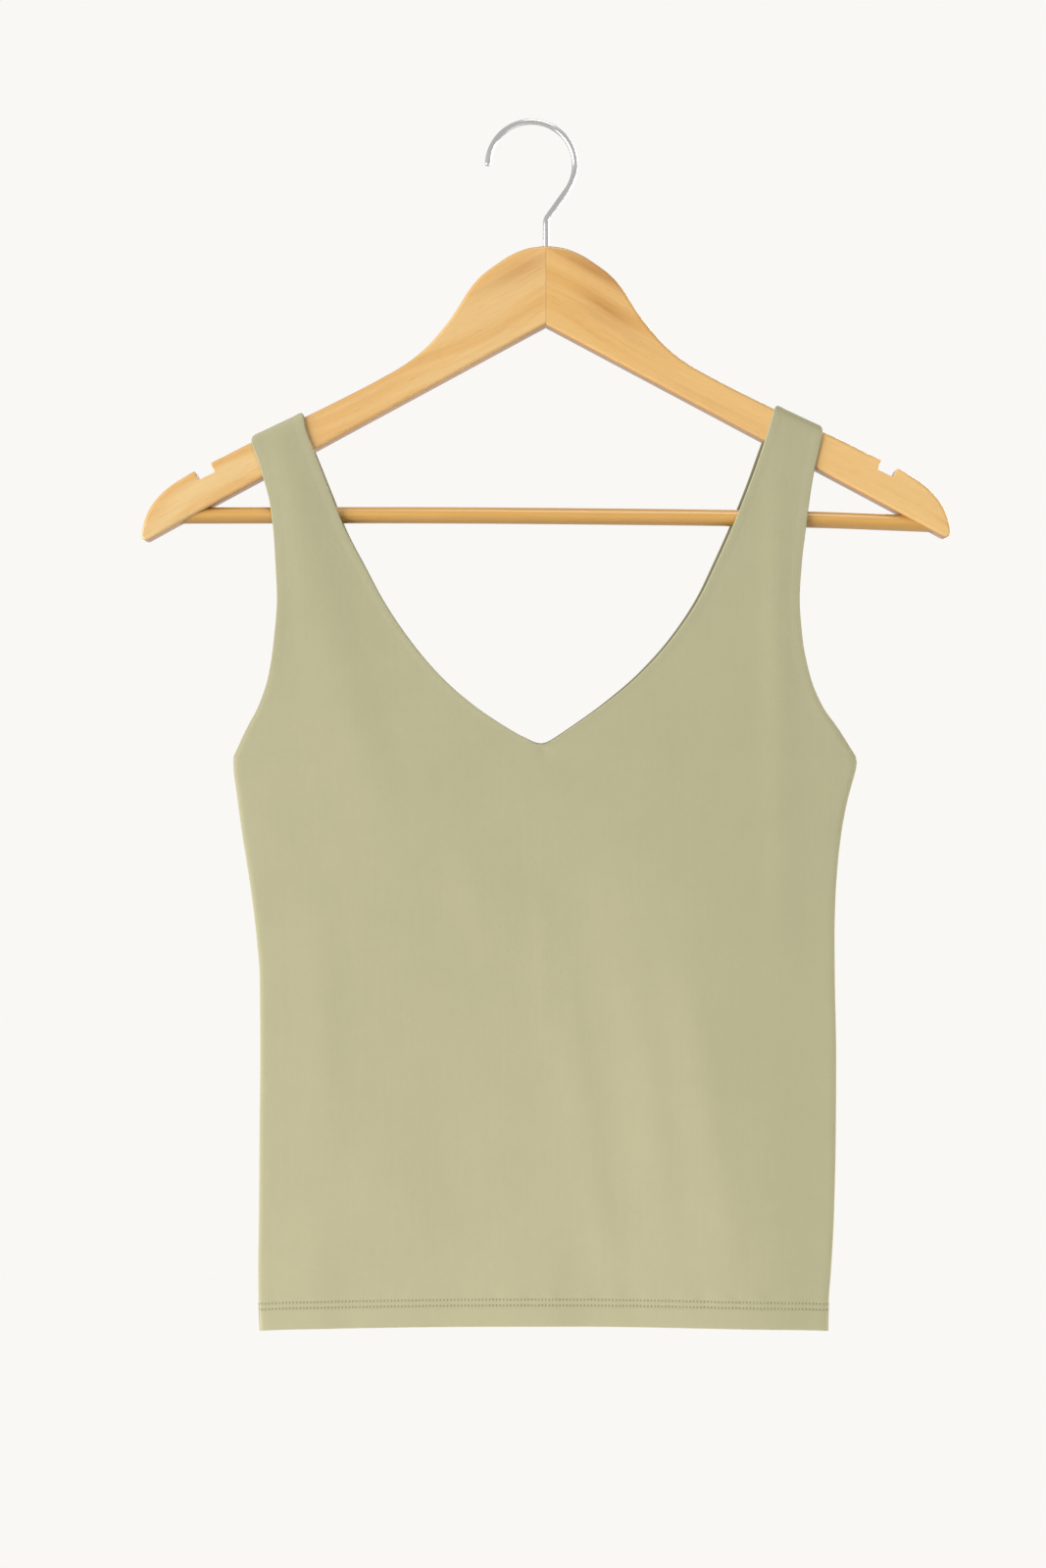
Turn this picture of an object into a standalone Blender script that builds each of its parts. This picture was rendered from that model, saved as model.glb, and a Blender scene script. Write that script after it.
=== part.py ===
"""A sage green v-neck tank top on a flat wooden hanger with a trouser bar and a wire hook.

+Z is up and the front of the top faces -Y. The origin is the point inside the hook's crown that
bears on whatever the hanger hangs from. The numbers below are millimetres, and MM turns them into
metres where a mesh is made. "Across" is measured from the hanger's middle and is negative on the
left, "reach" is the same without its sign, and "drop" is measured down from the top of the wood.
"""

import math
from collections import namedtuple

import bmesh
import bpy
import numpy as np
from mathutils import Matrix, Vector

MM = 0.001
GAP = 0.3  # between pieces that touch

# The hook, bent from one wire and set into the middle of the hanger.
WIRE_RADIUS = 1.6
WIRE_ROUNDNESS = 3  # bevel resolution, for ten sides
HOOK_RADIUS = 24.0  # to the middle of the wire
HOOK_ACROSS = -8.0  # middle of the hook's curve
HOOK_RISE = 45.5  # middle of the hook's curve, above the wood
HOOK_FROM, HOOK_TO = -28.0, 181.0  # degrees round that middle, from the shank's side to the tip
HOOK_STEPS = 28
BEND_RISE = 15.5  # where the shank turns towards the curve
BEND_RADIUS = 7.0
BEND_STEPS = 5
SHANK_DEPTH = 22.0  # how far the wire goes down into the wood
BEARING_RISE = HOOK_RISE + HOOK_RADIUS - WIRE_RADIUS

# The hanger's two arms are one flat board each, glued at the middle.
BOARD = 12.0  # thickness
EASE = 1.8  # radius of the eased edges
EASE_STEPS = 3
TILT = 0.0041  # the right arm hangs this much higher for each millimetre across
UNDER_DROP = 43.6  # lower edge at the middle
TIP_REACH, TIP_DROP = 221.2, 162.3
EDGE_STEPS = 52
CUTTER_SIDES = 24  # of the round holes
Edge = namedtuple("Edge", "reach drop")
UPPER_EDGE = [
    Edge(0.0, 0.0),
    Edge(9.0, 1.2),
    Edge(18.0, 4.4),
    Edge(28.0, 10.6),
    Edge(36.0, 16.8),
    Edge(42.0, 23.8),
    Edge(47.0, 31.6),
    Edge(52.0, 39.3),
    Edge(58.0, 47.0),
    Edge(66.0, 55.8),
    Edge(77.0, 64.6),
    Edge(92.0, 73.3),
    Edge(112.0, 83.6),
    Edge(137.0, 95.8),
    Edge(164.0, 108.5),
    Edge(184.0, 118.8),
    Edge(197.0, 125.4),
    Edge(206.0, 131.0),
    Edge(213.0, 137.2),
    Edge(218.0, 144.0),
    Edge(221.0, 151.5),
    Edge(222.4, 158.6),
]
NOTCH_REACH = 188.6
NOTCH_WIDTH = 9.6
NOTCH_DEPTH = 5.4

# The trouser bar is a dowel with a slight bow, let into the lower edge of both arms.
BAR_RADIUS = 4.5
BAR_STEPS = 12
BAR_ROUNDNESS = 6  # bevel resolution, for sixteen sides
SOCKET_LENGTH = 34.0
Rest = namedtuple("Rest", "across drop")
BAR_LINE = [
    Rest(-205.0, 147.8),
    Rest(-90.0, 147.6),
    Rest(66.0, 148.7),
    Rest(145.0, 150.0),
    Rest(215.5, 152.6),
]

# The cloth is two layers of jersey. Seam allowances thicken it on the shoulder and at the hem.
WALL = 1.2
SHOULDER_WALL = {-1: 2.7, 1: 2.1}
HEM_WALL = 1.8
HEM_HEIGHT = 14.0
HEM_STEP = 1.0  # height over which the turned-up edge begins
THICKEST = 3.0  # what a full weight stands for in a panel's wall

# A strap lies flat on the board's front, turns over its top edge and ends at the shoulder seam.
STRAP_DEPTH = BOARD / 2 + GAP + WALL
TURN_RADIUS = 4.0
TURN_STEPS = 4
SEAM_BEHIND = 2.0  # shoulder seam, behind the middle of the board
SHOULDER_LIFT = {-1: 3.6, 1: 3.0}  # top of the strap above the wood
CORNER_ROUNDING = 1.6

Section = namedtuple("Section", "outer_reach outer_drop inner_reach inner_drop")
SHOULDERS = {-1: (162.5, 133.0), 1: (152.7, 125.9)}  # outer and inner reach of the strap's top
STRAPS = {
    -1: [
        Section(160.9, 111.0, 131.9, 99.6),
        Section(158.0, 118.0, 128.8, 109.0),
        Section(155.1, 128.0, 123.7, 122.0),
        Section(151.7, 141.0, 117.3, 138.0),
        Section(149.7, 156.0, 110.2, 156.0),
        Section(148.5, 175.0, 100.3, 175.0),
        Section(147.7, 194.0, 90.2, 194.0),
        Section(149.3, 215.0, 76.2, 215.0),
        Section(152.5, 236.0, 58.6, 236.0),
        Section(158.0, 252.5, 39.8, 252.5),
        Section(164.6, 266.0, 19.6, 266.0),
        Section(171.9, 281.0, 2.2, 275.5),
    ],
    1: [
        Section(151.3, 105.5, 124.0, 93.8),
        Section(149.9, 112.5, 121.4, 103.0),
        Section(147.4, 123.0, 117.7, 114.5),
        Section(145.0, 137.0, 111.8, 131.0),
        Section(142.6, 156.0, 103.0, 153.0),
        Section(140.4, 175.0, 92.6, 175.0),
        Section(139.3, 194.0, 84.0, 194.0),
        Section(140.5, 215.0, 70.0, 215.0),
        Section(144.4, 236.0, 51.2, 236.0),
        Section(151.2, 252.5, 31.4, 252.5),
        Section(159.6, 266.0, 12.2, 266.0),
        Section(171.2, 281.0, -2.2, 275.5),
    ],
}
Side = namedtuple("Side", "drop left right")
SIDES = [
    Side(281.0, 171.9, 171.2),
    Side(288.0, 171.9, 170.8),
    Side(297.0, 170.7, 168.1),
    Side(309.0, 169.1, 165.1),
    Side(323.0, 167.2, 162.5),
    Side(341.0, 164.3, 160.4),
    Side(361.0, 161.4, 159.0),
    Side(382.0, 159.0, 158.5),
    Side(404.0, 157.4, 158.8),
    Side(446.0, 157.2, 159.6),
    Side(490.0, 157.6, 159.6),
    Side(533.0, 157.9, 158.6),
    Side(562.0, 158.3, 156.7),
    Side(580.0, 158.1, 155.1),
    Side(597.0, 157.4, 154.7),
]
HEM_MIDDLE_DROP = 593.2

# Half of the top's depth, over both layers, at its outer edge and in the middle of the panel.
Depth = namedtuple("Depth", "drop edge middle")
DEPTHS = [
    Depth(90.0, STRAP_DEPTH, STRAP_DEPTH),
    Depth(150.0, 7.4, 7.5),
    Depth(190.0, 7.0, 7.5),
    Depth(220.0, 6.1, 7.6),
    Depth(245.0, 4.4, 7.7),
    Depth(265.0, 2.4, 7.8),
    Depth(281.0, 1.4, 7.9),
    Depth(350.0, 1.4, 8.0),
    Depth(450.0, 1.4, 8.0),
    Depth(540.0, 1.4, 7.8),
    Depth(597.0, 1.4, 7.6),
]
SIDE_ROUNDING = 58.0  # how far in from the side seam the panel bellies out
BELLY_POWER = 2.0  # how soon it does so
FOLD_FADE = 24.0  # folds die out within this distance of the side seam

# Soft folds: a line from its top to its low end, half its width, and how far it stands out.
Fold = namedtuple("Fold", "top_across top_drop low_across low_drop half_width rise")
FRONT_FOLDS = [
    Fold(66, 330, 134, 600, 23, 2.4),
    Fold(126, 400, 146, 580, 10, -0.7),
    Fold(2, 372, 38, 540, 11, 0.7),
    Fold(36, 384, 66, 530, 11, 0.6),
    Fold(-126, 118, -104, 330, 13, 0.8),
    Fold(128, 170, 128, 420, 12, 0.7),
    Fold(0, 286, 84, 300, 9, -0.5),
    Fold(-92, 440, -104, 660, 24, 0.7),
    Fold(-20, 490, -10, 640, 24, -0.7),
    Fold(112, 540, 128, 650, 13, -0.6),
]
BACK_FOLDS = [
    Fold(-58, 320, -122, 590, 22, 2.0),
    Fold(-122, 400, -140, 560, 10, -0.6),
    Fold(24, 372, 8, 520, 12, 0.6),
    Fold(98, 300, 112, 470, 18, 1.2),
    Fold(66, 330, 78, 480, 12, -0.5),
    Fold(-130, 180, -130, 400, 12, 0.7),
    Fold(118, 130, 112, 320, 12, 0.6),
    Fold(84, 450, 92, 650, 24, 0.8),
    Fold(12, 500, 20, 640, 22, -0.7),
    Fold(-104, 540, -112, 650, 14, -0.4),
]

COLUMNS = 12  # across each half of a panel
COLUMN_CROWDING = 1.3  # draws the columns towards the side seam
STRAP_ROWS = 20
BODY_ROWS = 20
SHARP = math.radians(35)

SAGE = (193, 188, 150)
SAGE_BACK = (186, 181, 144)
HONEY = (238, 198, 138)
AMBER = (222, 173, 104)
DOWEL = (222, 173, 97)
CHROME = (205, 206, 208)


def clear_scene():
    for thing in list(bpy.data.objects):
        bpy.data.objects.remove(thing, do_unlink=True)


def point(across, depth, drop):
    """A place in the part's frame, in metres."""
    return Vector((across - HOOK_ACROSS, depth, -drop - BEARING_RISE)) * MM


def smooth(stations, values, at):
    """A cubic curve through the values that never swings past them."""
    stations = np.asarray(stations, float)
    values = np.asarray(values, float)
    steps = np.diff(values) / np.diff(stations)
    before, after = steps[:-1], steps[1:]
    turning = before * after <= 0
    slopes = np.empty_like(values)
    slopes[1:-1] = np.where(turning, 0.0, 2 * before * after / np.where(turning, 1.0, before + after))
    slopes[0], slopes[-1] = steps[0], steps[-1]
    at = np.clip(at, stations[0], stations[-1])
    low = np.clip(np.searchsorted(stations, at, side="right") - 1, 0, len(stations) - 2)
    width = stations[low + 1] - stations[low]
    t = (at - stations[low]) / width
    start = (2 * t**3 - 3 * t**2 + 1) * values[low]
    end = (3 * t**2 - 2 * t**3) * values[low + 1]
    leaving = (t**3 - 2 * t**2 + t) * width * slopes[low]
    arriving = (t**3 - t**2) * width * slopes[low + 1]
    return start + end + leaving + arriving


def finish(material_name, colour, roughness, metallic=0.0):
    """A plain material from an sRGB colour."""
    made = bpy.data.materials.new(material_name)
    made.use_nodes = True
    shader = made.node_tree.nodes["Principled BSDF"]
    linear = [((c / 255 + 0.055) / 1.055) ** 2.4 for c in colour]
    shader.inputs["Base Color"].default_value = (*linear, 1.0)
    shader.inputs["Roughness"].default_value = roughness
    shader.inputs["Metallic"].default_value = metallic
    return made


def add_object(name, data, material):
    thing = bpy.data.objects.new(name, data)
    bpy.context.scene.collection.objects.link(thing)
    data.materials.append(material)
    return thing


def add_mesh(name, shape, material):
    data = bpy.data.meshes.new(name)
    shape.to_mesh(data)
    shape.free()
    data.shade_smooth()
    data.set_sharp_from_angle(angle=SHARP)
    return add_object(name, data, material)


def add_rod(name, places, radius, resolution, material):
    """A round rod along a list of places, with flat ends."""
    data = bpy.data.curves.new(name, "CURVE")
    data.dimensions = "3D"
    data.bevel_depth = radius * MM
    data.bevel_resolution = resolution
    data.use_fill_caps = True
    spline = data.splines.new("POLY")
    spline.points.add(len(places) - 1)
    for spot, place in zip(spline.points, places):
        spot.co = (*place, 1.0)
    return add_object(name, data, material)


def upper_edge():
    """Reaches and drops along the top edge of an arm, at equal steps along the edge."""
    reach = np.array([edge.reach for edge in UPPER_EDGE])
    drop = np.array([edge.drop for edge in UPPER_EDGE])
    run = np.concatenate([[0.0], np.cumsum(np.hypot(np.diff(reach), np.diff(drop)))])
    at = np.linspace(0.0, run[-1], EDGE_STEPS + 1)
    return smooth(run, reach, at), smooth(run, drop, at)


def arm_top(across):
    """Drop of the wood's top edge."""
    reach, drop = upper_edge()
    return float(np.interp(abs(across), reach, drop)) - TILT * across


def bar_drop(across):
    return smooth([r.across for r in BAR_LINE], [r.drop for r in BAR_LINE], across)


def add_cutter(name, shape, target):
    """A hidden shape that is cut out of the target."""
    data = bpy.data.meshes.new(name)
    shape.to_mesh(data)
    shape.free()
    cutter = bpy.data.objects.new(name, data)
    bpy.context.scene.collection.objects.link(cutter)
    cutter.hide_render = True
    cutter.display_type = "WIRE"
    cut = target.modifiers.new(name, "BOOLEAN")
    cut.operation = "DIFFERENCE"
    cut.solver = "EXACT"
    cut.object = cutter


def cylinder(start, end, radius):
    """A closed cylinder between two places."""
    shape = bmesh.new()
    axis = end - start
    turn = axis.to_track_quat("Z", "Y").to_matrix().to_4x4()
    bmesh.ops.create_cone(
        shape,
        cap_ends=True,
        segments=CUTTER_SIDES,
        radius1=radius * MM,
        radius2=radius * MM,
        depth=axis.length,
        matrix=Matrix.Translation((start + end) / 2) @ turn,
    )
    return shape


def cut_notch(arm, side):
    """The square notch near the end, cut straight into the sloping top edge."""
    across = side * NOTCH_REACH
    before = point(across - 1, 0, arm_top(across - 1))
    after = point(across + 1, 0, arm_top(across + 1))
    slope = math.atan2(before.z - after.z, after.x - before.x)
    shape = bmesh.new()
    size = Vector((NOTCH_WIDTH, 2 * BOARD, 2 * NOTCH_DEPTH)) * MM
    middle = Matrix.Translation(point(across, 0, arm_top(across)))
    turn = Matrix.Rotation(slope, 4, "Y")
    bmesh.ops.create_cube(shape, size=1, matrix=middle @ turn @ Matrix.Diagonal((*size, 1)))
    add_cutter(arm.name + "_notch", shape, arm)


def cut_bar_socket(arm, side):
    """The blind hole that holds the end of the trouser bar."""
    last = BAR_LINE[0].across if side < 0 else BAR_LINE[-1].across
    deep = last + side * GAP
    near = last - side * SOCKET_LENGTH
    slope = (bar_drop(last) - bar_drop(last - side)) * side
    low = bar_drop(last)
    start = point(deep, 0, low + slope * (deep - last))
    end = point(near, 0, low + slope * (near - last))
    add_cutter(arm.name + "_socket", cylinder(start, end, BAR_RADIUS + GAP), arm)


def cut_shank_groove(arm):
    start = point(0, 0, SHANK_DEPTH + GAP)
    end = point(0, 0, -BOARD)
    add_cutter(arm.name + "_groove", cylinder(start, end, WIRE_RADIUS + GAP), arm)


def add_arm(name, side, material):
    """One half of the hanger, from the glued joint to the tip."""
    reach, drop = upper_edge()
    reach[0] = GAP / 2
    outline = list(zip(reach, drop))
    outline.append((TIP_REACH, TIP_DROP))
    outline.append((GAP / 2, UNDER_DROP))
    shape = bmesh.new()
    front = [
        shape.verts.new(point(side * r, -BOARD / 2, d - TILT * side * r)) for r, d in outline
    ]
    face = shape.faces.new(front)
    raised = bmesh.ops.extrude_face_region(shape, geom=[face])
    back = [v for v in raised["geom"] if isinstance(v, bmesh.types.BMVert)]
    bmesh.ops.translate(shape, verts=back, vec=(0, BOARD * MM, 0))
    bmesh.ops.recalc_face_normals(shape, faces=shape.faces)
    joint = {front[0].co.x}
    eased = [
        edge
        for edge in shape.edges
        if abs(edge.verts[0].co.y - edge.verts[1].co.y) < GAP * MM
        and not {v.co.x for v in edge.verts} <= joint
    ]
    bmesh.ops.bevel(
        shape,
        geom=eased,
        offset=EASE * MM,
        segments=EASE_STEPS,
        profile=0.5,
        affect="EDGES",
    )
    bmesh.ops.triangulate(shape, faces=shape.faces)
    arm = add_mesh(name, shape, material)
    cut_notch(arm, side)
    cut_bar_socket(arm, side)
    cut_shank_groove(arm)
    return arm


def add_bar(material):
    across = np.linspace(BAR_LINE[0].across, BAR_LINE[-1].across, BAR_STEPS + 1)
    places = [point(a, 0, bar_drop(a)) for a in across]
    return add_rod("trouser_bar", places, BAR_RADIUS, BAR_ROUNDNESS, material)


def hook_line():
    """Across and rise along the wire: up the shank, round the bend, and over to the tip."""
    curve = [
        (
            HOOK_ACROSS + HOOK_RADIUS * math.cos(angle),
            HOOK_RISE + HOOK_RADIUS * math.sin(angle),
        )
        for angle in np.radians(np.linspace(HOOK_FROM, HOOK_TO, HOOK_STEPS))
    ]
    lean = math.atan2(curve[0][0], curve[0][1] - BEND_RISE)  # from the vertical
    cut = BEND_RADIUS * math.tan(lean / 2)
    bend = [
        (
            BEND_RADIUS * (1 - math.cos(turn)),
            BEND_RISE - cut + BEND_RADIUS * math.sin(turn),
        )
        for turn in np.linspace(0.0, lean, BEND_STEPS)
    ]
    return [(0.0, -SHANK_DEPTH), (0.0, 0.0)] + bend + curve


def add_hook(material):
    places = [point(across, 0, -rise) for across, rise in hook_line()]
    return add_rod("hook", places, WIRE_RADIUS, WIRE_ROUNDNESS, material)


def strap_table(side):
    """The strap's sections from its top to the armpit, as an array of a row each."""
    outer, inner = SHOULDERS[side]
    lift = SHOULDER_LIFT[side]
    top = Section(outer, arm_top(side * outer) - lift, inner, arm_top(side * inner) - lift)
    return np.array([top, *STRAPS[side]])


def section_ends(side, level):
    """Across and drop of a row's ends, outer first. Level 0 is the shoulder, 1 the armpit, 2 the hem."""
    table = strap_table(side)
    if level < 1:
        mean = (table[:, 1] + table[:, 3]) / 2
        at = mean[0] + level * (mean[-1] - mean[0])
        outer_reach, outer_drop, inner_reach, inner_drop = (
            float(smooth(mean, column, at)) for column in table.T
        )
        return (side * outer_reach, outer_drop), (side * inner_reach, inner_drop)
    share = level - 1
    drops = [row.drop for row in SIDES]
    reaches = [row.left if side < 0 else row.right for row in SIDES]
    outer_drop = drops[0] + share * (drops[-1] - drops[0])
    outer_reach = float(smooth(drops, reaches, outer_drop))
    _, _, middle_reach, neck_drop = table[-1]
    inner_drop = neck_drop + share * (HEM_MIDDLE_DROP - neck_drop)
    return (side * outer_reach, outer_drop), (side * middle_reach, inner_drop)


def fold_height(folds, across, drop):
    total = 0.0
    for fold in folds:
        run = Vector((fold.low_across - fold.top_across, fold.low_drop - fold.top_drop))
        here = Vector((across - fold.top_across, drop - fold.top_drop))
        along = here.dot(run) / run.length_squared
        aside = abs(here.x * run.y - here.y * run.x) / run.length
        ends = math.sin(math.pi * min(max(along, 0.0), 1.0))
        total += fold.rise * ends * math.exp(-((aside / fold.half_width) ** 2))
    return total


def cloth_depth(folds, across, drop, from_edge):
    """How far the outside of a panel stands from the top's middle plane."""
    drops = [row.drop for row in DEPTHS]
    edge = float(smooth(drops, [row.edge for row in DEPTHS], drop))
    middle = float(smooth(drops, [row.middle for row in DEPTHS], drop))
    belly = 1 - (1 - min(from_edge / SIDE_ROUNDING, 1.0)) ** BELLY_POWER
    fade = min(from_edge / FOLD_FADE, 1.0) ** 2
    return edge + (middle - edge) * belly + fade * fold_height(folds, across, drop)


Row = namedtuple("Row", "level depth inset wall")


def panel_rows(side, facing):
    """Rows of a panel, from the shoulder seam over the board's edge and down to the hem."""
    table = strap_table(side)
    length = (table[-1, 1] + table[-1, 3] - table[0, 1] - table[0, 3]) / 2
    shoulder = SHOULDER_WALL[side]
    flat = STRAP_DEPTH - TURN_RADIUS
    seam = -SEAM_BEHIND if facing < 0 else SEAM_BEHIND + GAP
    rows = [Row(0.0, seam, CORNER_ROUNDING, shoulder)]
    for turn in np.linspace(0.0, math.pi / 2, TURN_STEPS + 1):
        rows.append(
            Row(
                TURN_RADIUS * (1 - math.cos(turn)) / length,
                flat + TURN_RADIUS * math.sin(turn),
                CORNER_ROUNDING * (1 - math.sin(turn)),
                shoulder + (WALL - shoulder) * turn / (math.pi / 2),
            )
        )
    for level in np.linspace(rows[-1].level, 1.0, STRAP_ROWS + 1)[1:]:
        rows.append(Row(level, None, 0.0, WALL))
    body = SIDES[-1].drop - SIDES[0].drop
    hem_top = 2.0 - HEM_HEIGHT / body
    for level in np.linspace(1.0, hem_top, BODY_ROWS + 1)[1:]:
        rows.append(Row(level, None, 0.0, WALL))
    rows.append(Row(hem_top + HEM_STEP / body, None, 0.0, HEM_WALL))
    rows.append(Row(2.0 - HEM_HEIGHT / body / 2, None, 0.0, HEM_WALL))
    rows.append(Row(2.0, None, 0.0, HEM_WALL))
    return rows


def row_places(row, side, facing, folds):
    """The places and walls along one row, from its outer to its inner end."""
    (outer, outer_drop), (inner, inner_drop) = section_ends(side, row.level)
    width = abs(inner - outer)
    first = row.inset / width
    last = 1.0 - first
    places = []
    for column in range(COLUMNS + 1):
        share = first + (last - first) * (column / COLUMNS) ** COLUMN_CROWDING
        across = outer + (inner - outer) * share
        rise = math.sin(share * math.pi / 2) if row.level >= 1 else share
        drop = outer_drop + (inner_drop - outer_drop) * rise
        depth = row.depth
        if depth is None:
            depth = cloth_depth(folds, across, drop, abs(across - outer))
        wall = row.wall if row.level < 1 else min(row.wall, depth - GAP / 2)
        places.append((point(across, facing * depth, drop), wall))
    return places


def add_panel(name, facing, folds, material):
    """One panel of the top: two straps that join below the neckline, solid through its wall."""
    shape = bmesh.new()
    walls = []
    middle = {}
    for side in (-1, 1):
        grid = []
        for number, row in enumerate(panel_rows(side, facing)):
            line = []
            for column, (place, wall) in enumerate(row_places(row, side, facing, folds)):
                shared = row.level >= 1 and column == COLUMNS
                if shared and number in middle:
                    line.append(middle[number])
                    continue
                line.append(shape.verts.new(place))
                walls.append(wall / THICKEST)
                if shared:
                    middle[number] = line[-1]
            grid.append(line)
        for upper, lower in zip(grid, grid[1:]):
            for column in range(COLUMNS):
                corners = [upper[column], upper[column + 1], lower[column + 1], lower[column]]
                if side * facing > 0:
                    corners.reverse()
                shape.faces.new(corners)
    panel = add_mesh(name, shape, material)
    group = panel.vertex_groups.new(name="wall")
    for index, weight in enumerate(walls):
        group.add([index], weight, "REPLACE")
    solid = panel.modifiers.new("wall", "SOLIDIFY")
    solid.thickness = THICKEST * MM
    solid.offset = -1.0
    solid.use_even_offset = True
    solid.use_quality_normals = True
    solid.vertex_group = group.name
    return panel


def main():
    clear_scene()
    add_panel("front_panel", -1, FRONT_FOLDS, finish("front jersey", SAGE, 0.85))
    add_panel("back_panel", 1, BACK_FOLDS, finish("back jersey", SAGE_BACK, 0.85))
    add_arm("hanger_arm_left", -1, finish("left arm wood", HONEY, 0.38))
    add_arm("hanger_arm_right", 1, finish("right arm wood", AMBER, 0.38))
    add_bar(finish("bar wood", DOWEL, 0.35))
    add_hook(finish("hook steel", CHROME, 0.18, 1.0))


main()
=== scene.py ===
"""The looks of a sage green v-neck tank top that hangs on a varnished wooden hanger.

Lengths in the tables are millimetres. "Across" is measured from the hanger's middle and is negative
on the left, "reach" is the same without its sign, and "drop" is measured down from the top of the
wood. The front of the top faces -Y.
"""

import math
from collections import namedtuple
from functools import partialmethod

import bpy
import numpy as np
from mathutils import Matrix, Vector


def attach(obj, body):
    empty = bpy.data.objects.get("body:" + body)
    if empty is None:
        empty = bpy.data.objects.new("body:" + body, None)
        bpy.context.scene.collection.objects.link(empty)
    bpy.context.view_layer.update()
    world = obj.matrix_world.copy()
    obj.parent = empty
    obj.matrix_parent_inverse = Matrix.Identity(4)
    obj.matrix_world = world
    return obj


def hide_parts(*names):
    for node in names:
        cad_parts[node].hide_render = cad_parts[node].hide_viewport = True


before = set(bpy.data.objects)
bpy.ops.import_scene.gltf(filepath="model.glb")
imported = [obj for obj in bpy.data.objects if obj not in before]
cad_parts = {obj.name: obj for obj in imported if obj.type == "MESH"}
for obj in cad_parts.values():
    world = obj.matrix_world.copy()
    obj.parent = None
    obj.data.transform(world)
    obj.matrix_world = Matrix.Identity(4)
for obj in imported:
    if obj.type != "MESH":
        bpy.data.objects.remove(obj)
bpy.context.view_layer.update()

MM = 0.001

# The hanger's own sizes.
WIRE_RADIUS = 1.6
HOOK_RADIUS = 24.0
HOOK_ACROSS = -8.0
HOOK_RISE = 45.5
HOOK_TIP_ANGLE = 181.0
BEND_RISE = 15.5
BEND_RADIUS = 7.0
SHANK_DEPTH = 21.6
BEARING_RISE = HOOK_RISE + HOOK_RADIUS - WIRE_RADIUS
BOARD = 12.0
TILT = 0.0041
UNDER_DROP = 43.6
TIP_REACH, TIP_DROP = 221.2, 162.3
UPPER_EDGE = [  # reach and drop
    (0, 0), (9, 1.2), (18, 4.4), (28, 10.6), (36, 16.8), (42, 23.8),
    (47, 31.6), (52, 39.3), (58, 47), (66, 55.8), (77, 64.6), (92, 73.3),
    (112, 83.6), (137, 95.8), (164, 108.5), (184, 118.8), (197, 125.4), (206, 131),
    (213, 137.2), (218, 144), (221, 151.5), (222.4, 158.6),
]
NOTCH_REACH = 188.6
NOTCH_WIDTH = 9.6
NOTCH_DEPTH = 5.4
NOTCH_ROUNDING = 0.9
NOTCH_CLEAR = 0.4  # of the edge is left out beside the notch's rounding
EASE = 1.8  # radius of the board's eased edges, and closer to the notch and the tip
NOTCH_EASE = 0.55
NOTCH_FROM, NOTCH_OVER = 8.0, 6.0
TIP_EASE = 1.2
TIP_FROM, TIP_OVER = 4.0, 12.0
EASE_STEPS = 5
NOTCH_STEPS = 5
TIP_STEPS = 9
UNDER_STEPS = 60
JOINT = 0.06
TIP_ROUNDING = 3.6
WOOD_ANGLE = 32.0  # edges flatter than this are shaded smooth
ROUND_ANGLE = 40.0
WIRE_SIDES = 24
WIRE_BEVEL = 1.1
WIRE_PLAY = 0.15
BEND_STEPS, HOOK_STEPS = 10, 72
BAR_SIDES = 40
BAR_LENGTHS = 60
BAR_BEVEL = 0.6
BAR_PLAY = 0.2
BAR_SOCKET = 40.0  # how far its bore goes into an arm
BAR_RADIUS = 4.5
BAR_LINE = [  # across and drop
    (-205, 147.8), (-90, 147.6), (66, 148.7), (145, 150), (215.5, 152.6),
]
BAR_ACROSS, BAR_DROPS = zip(*BAR_LINE)

# The cut of the top, as in the part.
WALL = 1.2
SHOULDER_WALL = {-1: 2.7, 1: 2.1}
HEM_WALL = 1.8
STRAP_DEPTH = BOARD / 2 + 0.3 + WALL
TURN_RADIUS = 4.8
SEAM_BEHIND = 2.15
SHOULDER_LIFT = {-1: 3.6, 1: 3.0}
CORNER_ROUNDING = 1.6
SHOULDERS = {-1: (162.5, 133.0), 1: (152.7, 125.9)}  # reach of the outer and inner edge
POINT_ACROSS = -2.2  # the v's point
STRAPS = {  # reach and drop of the outer edge, then of the inner one
    -1: [
        (160.9, 111, 131.9, 99.6), (158, 118, 128.8, 109),
        (155.1, 128, 123.7, 122), (151.7, 141, 117.3, 138),
        (149.7, 156, 110.2, 156), (148.5, 175, 100.3, 175),
        (147.7, 194, 90.2, 194), (149.3, 215, 76.2, 215),
        (152.5, 236, 58.6, 236), (158, 252.5, 39.8, 252.5),
        (165.2, 266, 19.6, 266), (172.3, 281, -POINT_ACROSS, 275.5),
    ],
    1: [
        (151.3, 105.5, 124, 93.8), (149.9, 112.5, 121.4, 103),
        (147.4, 123, 117.7, 114.5), (145, 137, 111.8, 131),
        (142.6, 156, 103, 153), (140.4, 175, 93.2, 175),
        (139.3, 194, 84, 194), (140.8, 215, 70, 215),
        (145.1, 236, 51.2, 236), (151.9, 252.5, 31.4, 252.5),
        (161.5, 266, 12.2, 266), (171.1, 281, POINT_ACROSS, 275.5),
    ],
}
SIDES = [  # drop, then reach of the left and the right side seam
    (281, 172.3, 171.1), (284.5, 172.4, 171.6), (289, 172.2, 170.8), (297, 171.1, 168.5),
    (309, 169.5, 165.5), (323, 167.6, 162.9), (341, 164.7, 160.8), (361, 161.8, 159.4),
    (382, 159.4, 158.9), (404, 157.8, 159), (446, 157.6, 159.6), (490, 158, 159.3),
    (533, 158.3, 158.3), (562, 158.7, 156.8), (580, 158.5, 155.5), (597, 157.8, 155.1),
]
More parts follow.
